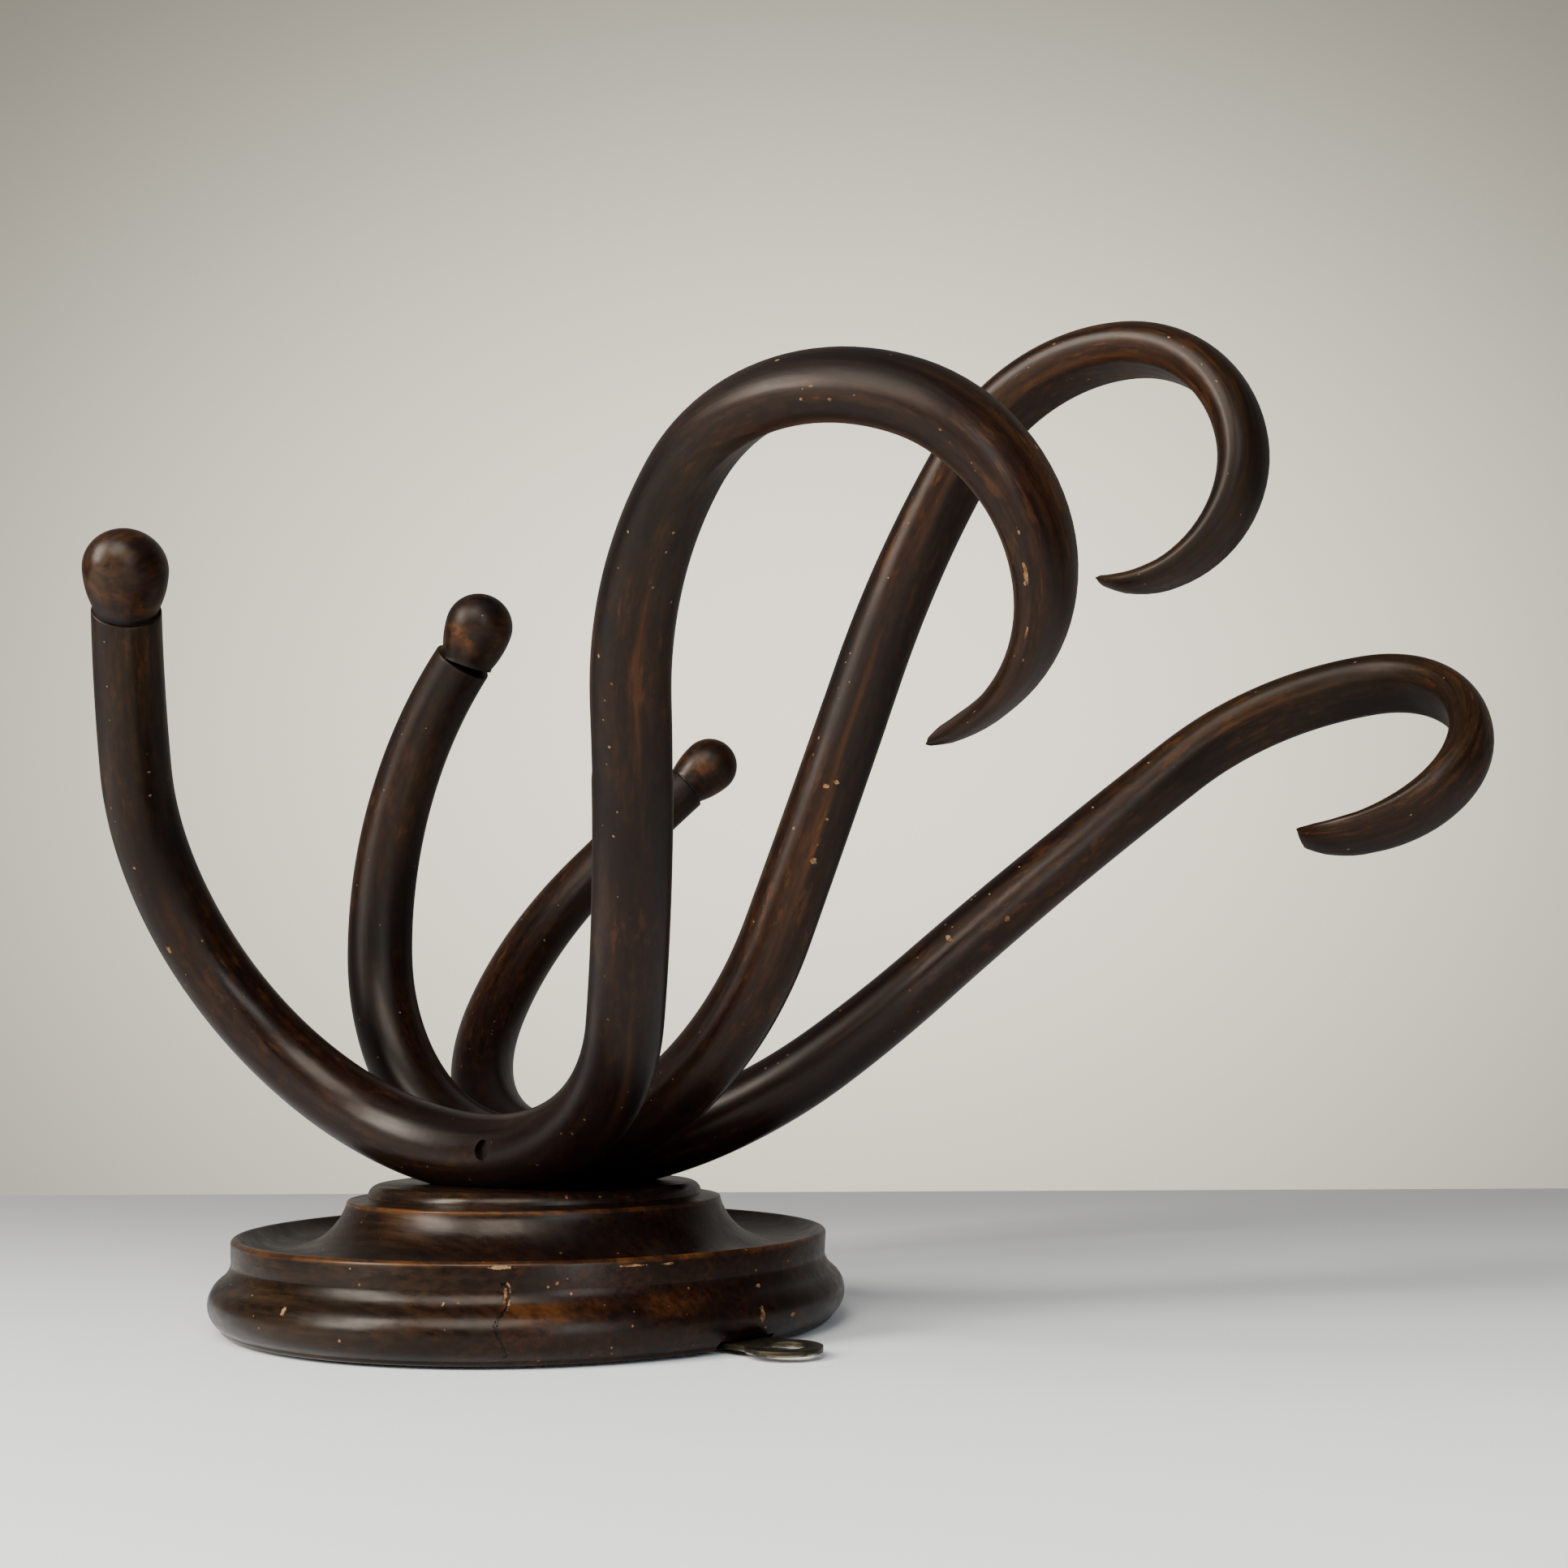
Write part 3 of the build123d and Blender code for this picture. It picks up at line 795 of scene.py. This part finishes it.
def ball_seat(arm):
    """The place of a ball's centre, its axis running down the rod."""
    u, v = arm["foot"]
    heading = radians(arm["pitch"])
    for radius, turn in arm["coat"]:
        step = -radians(turn)
        chord = 2 * radius * sin(abs(step) / 2)
        u -= chord * cos(heading + step / 2)
        v -= chord * sin(heading + step / 2)
        heading += step
    down = Vector((cos(heading), 0, sin(heading)))
    out = Vector((-sin(heading), 0, cos(heading)))
    turned = Matrix((Vector((0, 1, 0)), out, down)).transposed().to_4x4()
    return lean_out(arm) @ Matrix.Translation((u * MM, 0, v * MM)) @ turned


def ball_material():
    """The balls' finish: near black on top, worn brown below, dark again in the neck."""
    material, tree = new_material("stained_ball")
    place = node(tree, "ShaderNodeAttribute", {}, attribute_name="ball_place").outputs["Vector"]
    axes = node(tree, "ShaderNodeSeparateXYZ", {0: place}).outputs
    down = axes[2]
    low = times(tree, window(tree, down, -0.002, 0.004), window(tree, down, 0.0105, 0.0075))
    patchy = noise(tree, scaled(tree, place, (110, 110, 70)), 1.0, 4.0, 0.6)
    patchy = window(tree, patchy, 0.35, 0.65)
    worn = times(tree, patchy, window(tree, low, 0.0, 1.0, 0.2, 0.8))
    spot = window(tree, noise(tree, place, 130.0, 3.0, 0.6), 0.56, 0.62)
    grain_place = gather(tree, axes[1], axes[2], axes[0])
    polished_beech(tree, place, grain_place, worn, 0.0, patchy, 0.12, 0.28)
    neck = window(tree, down, 0.0095, 0.0125, 0.0, 0.8)
    darken(tree, maths(tree, "MAXIMUM", neck, times(tree, spot, 0.7)), BALL_DARK)
    return material


STAINED_BALL = ball_material()
for name, arm in ARMS.items():
    bm = bmesh.new()
    turn_outline(bm, BALL_START, BALL_OUTLINE, BALL_FACETS, BALL_ARC_STEPS)
    layer = bm.verts.layers.float_vector.new("ball_place")
    for vert in bm.verts:
        vert[layer] = vert.co + Vector((arm["lot"] * MM, 0, 0))
    bmesh.ops.transform(bm, matrix=ball_seat(arm), verts=bm.verts)
    ball = new_piece("ball_" + name, bm, STAINED_BALL, 50.0)
    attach(ball, "root")
    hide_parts("ball_" + name)

# ---- the screws -------------------------------------------------------------------------------
# Slotted countersunk steel wood screws: three through the block's back into the arms, one from
# either side through an outer arm into the middle one, and two small ones in the hanging plate.
# The steel has gone dull grey, with brown rust in patches.
STEEL_GREY = (0.28, 0.265, 0.25, 1)
RUST_BROWN = (0.075, 0.032, 0.015, 1)
SCREW_EASE = 0.12


def eased_copy(name, ease, material):
    """A CAD node's shape with its edges broken, as its own piece."""
    bm = bmesh.new()
    bm.from_mesh(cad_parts[name].data)
    bmesh.ops.remove_doubles(bm, verts=bm.verts, dist=0.000002)
    bmesh.ops.dissolve_limit(bm, angle_limit=radians(1), verts=bm.verts, edges=bm.edges)
    joins = [edge for edge in bm.edges if edge.is_manifold]
    sharp = [edge for edge in joins if edge.calc_face_angle() > radians(30)]
    bmesh.ops.bevel(
        bm,
        geom=sharp,
        offset=ease * MM,
        affect="EDGES",
        segments=2,
        profile=0.5,
        material=-1,
        clamp_overlap=True,
    )
    bmesh.ops.triangulate(bm, faces=bm.faces)
    return new_piece(name + "_finished", bm, material, 40.0)


def steel_material():
    """Old screw steel: grey, brushed across the head, with brown rust in patches."""
    material, tree = new_material("old_steel")
    place = node(tree, "ShaderNodeTexCoord", {}).outputs["Object"]
    rust = window(tree, noise(tree, place, 900.0, 5.0, 0.7), 0.42, 0.6)
    fine = noise(tree, scaled(tree, place, (9000, 700, 700)), 1.0, 3.0)
    shader = tree.nodes["Principled BSDF"]
    tree.links.new(tint(tree, rust, STEEL_GREY, RUST_BROWN), shader.inputs["Base Color"])
    tree.links.new(window(tree, rust, 0, 1, 0.95, 0.25), shader.inputs["Metallic"])
    tree.links.new(window(tree, rust, 0, 1, 0.38, 0.8), shader.inputs["Roughness"])
    tree.links.new(relief_normal(tree, 0.4, 0.00005, fine), shader.inputs["Normal"])
    return material


OLD_STEEL = steel_material()
for name in sorted(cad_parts):
    if "screw" in name:
        piece = eased_copy(name, SCREW_EASE, OLD_STEEL)
        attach(piece, "root")
        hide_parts(name)

# ---- the hanging plate ------------------------------------------------------------------------
# A brass strip let into the back and cranked clear of the wall, with a round eye past the rim
# that drops over a nail. The brass has tarnished almost black; the lower half of its eye is
# given brighter brass as a painted highlight, for the light it catches off the table.
TARNISH_BLACK = (0.016, 0.013, 0.009, 1)
TARNISH_BROWN = (0.042, 0.034, 0.019, 1)
BRASS_PAINTED_GLEAM = (0.22, 0.18, 0.11, 1)
PLATE_EASE = 0.25


def brass_material():
    """Tarnished brass, with a painted highlight of brighter brass on the lower half of the eye."""
    material, tree = new_material("tarnished_brass")
    place = node(tree, "ShaderNodeTexCoord", {}).outputs["Object"]
    axes = node(tree, "ShaderNodeSeparateXYZ", {0: place}).outputs
    eye = window(tree, axes[0], 0.094, 0.1)
    # Painted highlight: the lower half of the eye gets brighter brass for the light it catches off the
    # table.
    low = times(tree, window(tree, axes[2], 0.0013, 0.0008), eye)
    wear_and_gleam = times(tree, low, window(tree, noise(tree, place, 260.0, 4.0), 0.35, 0.6))
    tarnish = window(tree, noise(tree, place, 180.0, 6.0, 0.7), 0.35, 0.65)
    dull = tint(tree, tarnish, TARNISH_BLACK, TARNISH_BROWN)
    shader = tree.nodes["Principled BSDF"]
    tree.links.new(tint(tree, wear_and_gleam, dull, BRASS_PAINTED_GLEAM), shader.inputs["Base Color"])
    shader.inputs["Metallic"].default_value = 0.85
    tree.links.new(window(tree, wear_and_gleam, 0, 1, 0.48, 0.3), shader.inputs["Roughness"])
    tree.links.new(relief_normal(tree, 0.4, 0.0001, tarnish), shader.inputs["Normal"])
    return material


plate = eased_copy("hanging_plate", PLATE_EASE, brass_material())
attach(plate, "root")
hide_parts("hanging_plate")

# ---- camera, table and light ------------------------------------------------------------------
# The rack lies on its back on a pale table, a plain warm wall some way behind it. Light comes
# from a tall window on the left, a smaller one on the right, and softly from in front.
YAW = radians(36.75)
PITCH = radians(9.89)
ROLL = radians(-0.26)
BEHIND = (-sin(YAW), cos(YAW), 0)
BESIDE = (cos(YAW), sin(YAW), 0)
camera_data = bpy.data.cameras.new("camera")
camera_data.sensor_width = 36.0
camera_data.lens = 37.41
camera_data.clip_end = 20.0
camera = new_object("camera", camera_data)
camera.matrix_world = (
    Matrix.Translation((0.37637, -0.37367, 0.07443))
    @ Matrix.Rotation(YAW, 4, "Z")
    @ Matrix.Rotation(radians(90) + PITCH, 4, "X")
    @ Matrix.Rotation(ROLL, 4, "Z")
)
bpy.context.scene.camera = camera

TABLE_LIT_FRONT = (0.93, 0.93, 0.935, 1)
TABLE_SHADED_BACK = (0.48, 0.48, 0.49, 1)
TABLE_HALF = (1.8, 0.95, 1)
TABLE_MIDDLE = (0, -0.44, -0.0009)    # a hair below the back, for the dark line under the rim


def table_material():
    """A pale painted table top with painted shade: lightest at its front edge, darker towards the back
    as the light falls off.
    """
    material, tree = new_material("pale_table")
    place = node(tree, "ShaderNodeTexCoord", {}).outputs["Object"]
    back = vector(tree, "DOT_PRODUCT", {0: place, 1: BEHIND}, "Value")
    # Painted shade: the top darkens towards the back, as though the light fell off there.
    painted_falloff = window(tree, back, -0.32, 0.45)
    shader = tree.nodes["Principled BSDF"]
    tree.links.new(tint(tree, painted_falloff, TABLE_LIT_FRONT, TABLE_SHADED_BACK), shader.inputs["Base Color"])
    shader.inputs["Roughness"].default_value = 0.55
    return material


bm = bmesh.new()
bmesh.ops.create_grid(bm, x_segments=1, y_segments=1, size=1)
bmesh.ops.scale(bm, vec=TABLE_HALF, verts=bm.verts)
bmesh.ops.translate(bm, vec=TABLE_MIDDLE, verts=bm.verts)
bmesh.ops.rotate(bm, cent=(0, 0, 0), matrix=Matrix.Rotation(YAW, 3, "Z"), verts=bm.verts)
table = new_piece("table", bm, table_material())


def soft_light(name, place, aim, size, power, colour):
    """A large soft light that faces a point."""
    data = bpy.data.lights.new(name, "AREA")
    data.shape = "RECTANGLE"
    data.size, data.size_y = size
    data.energy = power
    data.color = colour
    lamp = new_object(name, data)
    lamp.location = place
    lamp.rotation_euler = (Vector(aim) - Vector(place)).to_track_quat("-Z", "Y").to_euler()


ARMS_MIDDLE = (0, 0, 0.12)
BLOCK_FRONT = (0.12, -0.1, 0.05)
soft_light("window_light", (-0.67, -1.67, 1.0), ARMS_MIDDLE, (0.55, 1.2), 76, (1.0, 0.98, 0.95))
soft_light("side_light", (1.5, -0.85, 0.6), ARMS_MIDDLE, (0.5, 1.0), 16, (0.80, 0.90, 1.0))
soft_light("front_light", (0.34, -0.80, 0.8), BLOCK_FRONT, (0.6, 0.6), 15, (1.0, 0.97, 0.92))

WALL_GLOW = (1.85, 1.72, 1.40)
ROOM_DARK = (0.07, 0.07, 0.073, 1)
ROOM_WARM = (0.40, 0.38, 0.345, 1)
world = bpy.data.worlds.new("plain_room")
bpy.context.scene.world = world
world.use_nodes = True
tree = world.node_tree
outward = node(tree, "ShaderNodeTexCoord", {}).outputs["Generated"]
rise = node(tree, "ShaderNodeSeparateXYZ", {0: outward}).outputs[2]
behind = vector(tree, "DOT_PRODUCT", {0: outward, 1: BEHIND}, "Value")
beside = vector(tree, "DOT_PRODUCT", {0: outward, 1: BESIDE}, "Value")
# The wall is brightest a little above the table's edge, and fades faster upwards than sideways.
aside = minus(tree, maths(tree, "DIVIDE", beside, behind), 0.02)
above = minus(tree, maths(tree, "DIVIDE", rise, behind), 0.22)
fall = times(tree, times(tree, aside, aside), -5.0)
fall = plus(tree, fall, times(tree, times(tree, above, above), -8.2))
glow = plus(tree, times(tree, maths(tree, "POWER", 2.0, fall), 0.9), 0.1)
wall = vector(tree, "SCALE", {0: WALL_GLOW, "Scale": glow})
room = tint(tree, window(tree, behind, 0.2, 0.9), ROOM_DARK, ROOM_WARM)
seen = node(tree, "ShaderNodeLightPath", {}).outputs["Is Camera Ray"]
tree.links.new(tint(tree, seen, room, wall), tree.nodes["Background"].inputs["Color"])
tree.nodes["Background"].inputs["Strength"].default_value = 1.0
